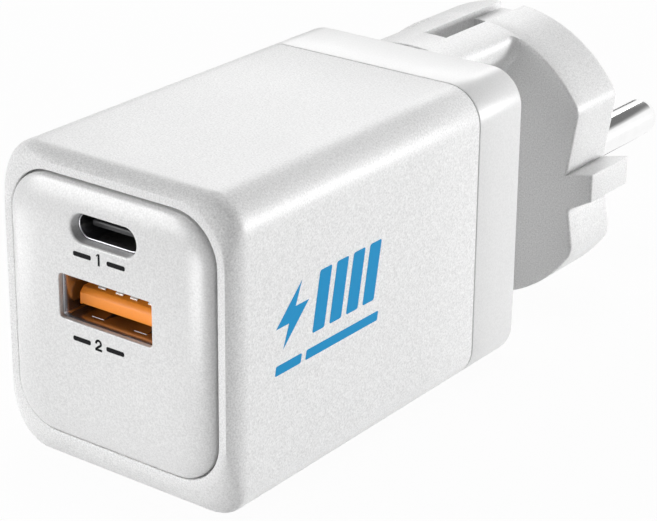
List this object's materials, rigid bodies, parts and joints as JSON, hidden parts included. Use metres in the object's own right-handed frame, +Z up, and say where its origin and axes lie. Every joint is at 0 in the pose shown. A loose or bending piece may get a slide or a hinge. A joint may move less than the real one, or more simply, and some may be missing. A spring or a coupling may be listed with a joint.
{
  "type": "usb wall charger",
  "caption": "Plug-in USB wall charger: upright rounded block with stacked USB-C and USB-A ports, a glossy rear cap and a fixed round mains plug on a waisted neck.",
  "frame": {"origin": "centre of the plug's pin face, midway between the pins", "axes": "+Y along the mains pins, away from the ports; +Z up, towards the USB-C port; +X to the right when the ports are faced"},
  "size_m": [0.0362, 0.0978, 0.0366],
  "materials": {
    "sleeve_white": "fine matt spark texture",
    "cap_white": "semi-gloss",
    "plug_white": "fine matt spark texture",
    "panel_white": "satin",
    "pin_metal": "bright nickel plate",
    "port_steel": "plated sheet",
    "insulator_dark": "moulded",
    "insulator_orange": "moulded",
    "contact_brass": "plated",
    "board_green": "glass-fibre board with solder resist",
    "ferrite": "sintered ferrite",
    "bobbin_plastic": "moulded",
    "winding_copper": "enamelled copper wire",
    "capacitor_can": "sleeved can",
    "film_capacitor": "resin box",
    "ceramic_disc": "dipped disc",
    "fuse_ceramic": "glazed tube",
    "chip_black": "moulded package",
    "pad_rubber": "silicone pad",
    "spreader_aluminium": "folded sheet",
    "insulation_film": "folded film"
  },
  "bodies": {
    "root": {"main_shell": "sleeve_white", "port_panel": "panel_white", "rear_cap": "cap_white", "plug_body": "plug_white", "pin_left": "pin_metal", "pin_right": "pin_metal", "contact_strip_left": "contact_brass", "contact_strip_right": "contact_brass", "main_board": "board_green", "port_board": "board_green", "usb_c_shell": "port_steel", "usb_a_shell": "port_steel", "usb_c_tongue": "insulator_dark", "usb_a_tongue": "insulator_orange", "usb_c_contacts": "contact_brass", "usb_a_contacts": "contact_brass", "transformer_core_lower": "ferrite", "transformer_core_upper": "ferrite", "transformer_bobbin": "bobbin_plastic", "transformer_primary": "winding_copper", "transformer_secondary": "winding_copper", "bulk_capacitor_left": "capacitor_can", "bulk_capacitor_middle": "capacitor_can", "bulk_capacitor_right": "capacitor_can", "output_capacitor_left": "capacitor_can", "output_capacitor_right": "capacitor_can", "output_inductor": "ferrite", "x_capacitor": "film_capacitor", "y_capacitor": "ceramic_disc", "choke_core": "ferrite", "choke_windings": "winding_copper", "fuse": "fuse_ceramic", "thermistor": "ceramic_disc", "bridge_rectifier": "chip_black", "gan_switch": "chip_black", "thermal_pad": "pad_rubber", "sync_rectifier": "chip_black", "usb_controller": "chip_black", "optocoupler": "chip_black", "heat_spreader": "spreader_aluminium", "insulation_sheet": "insulation_film"}
  },
  "joints": []
}
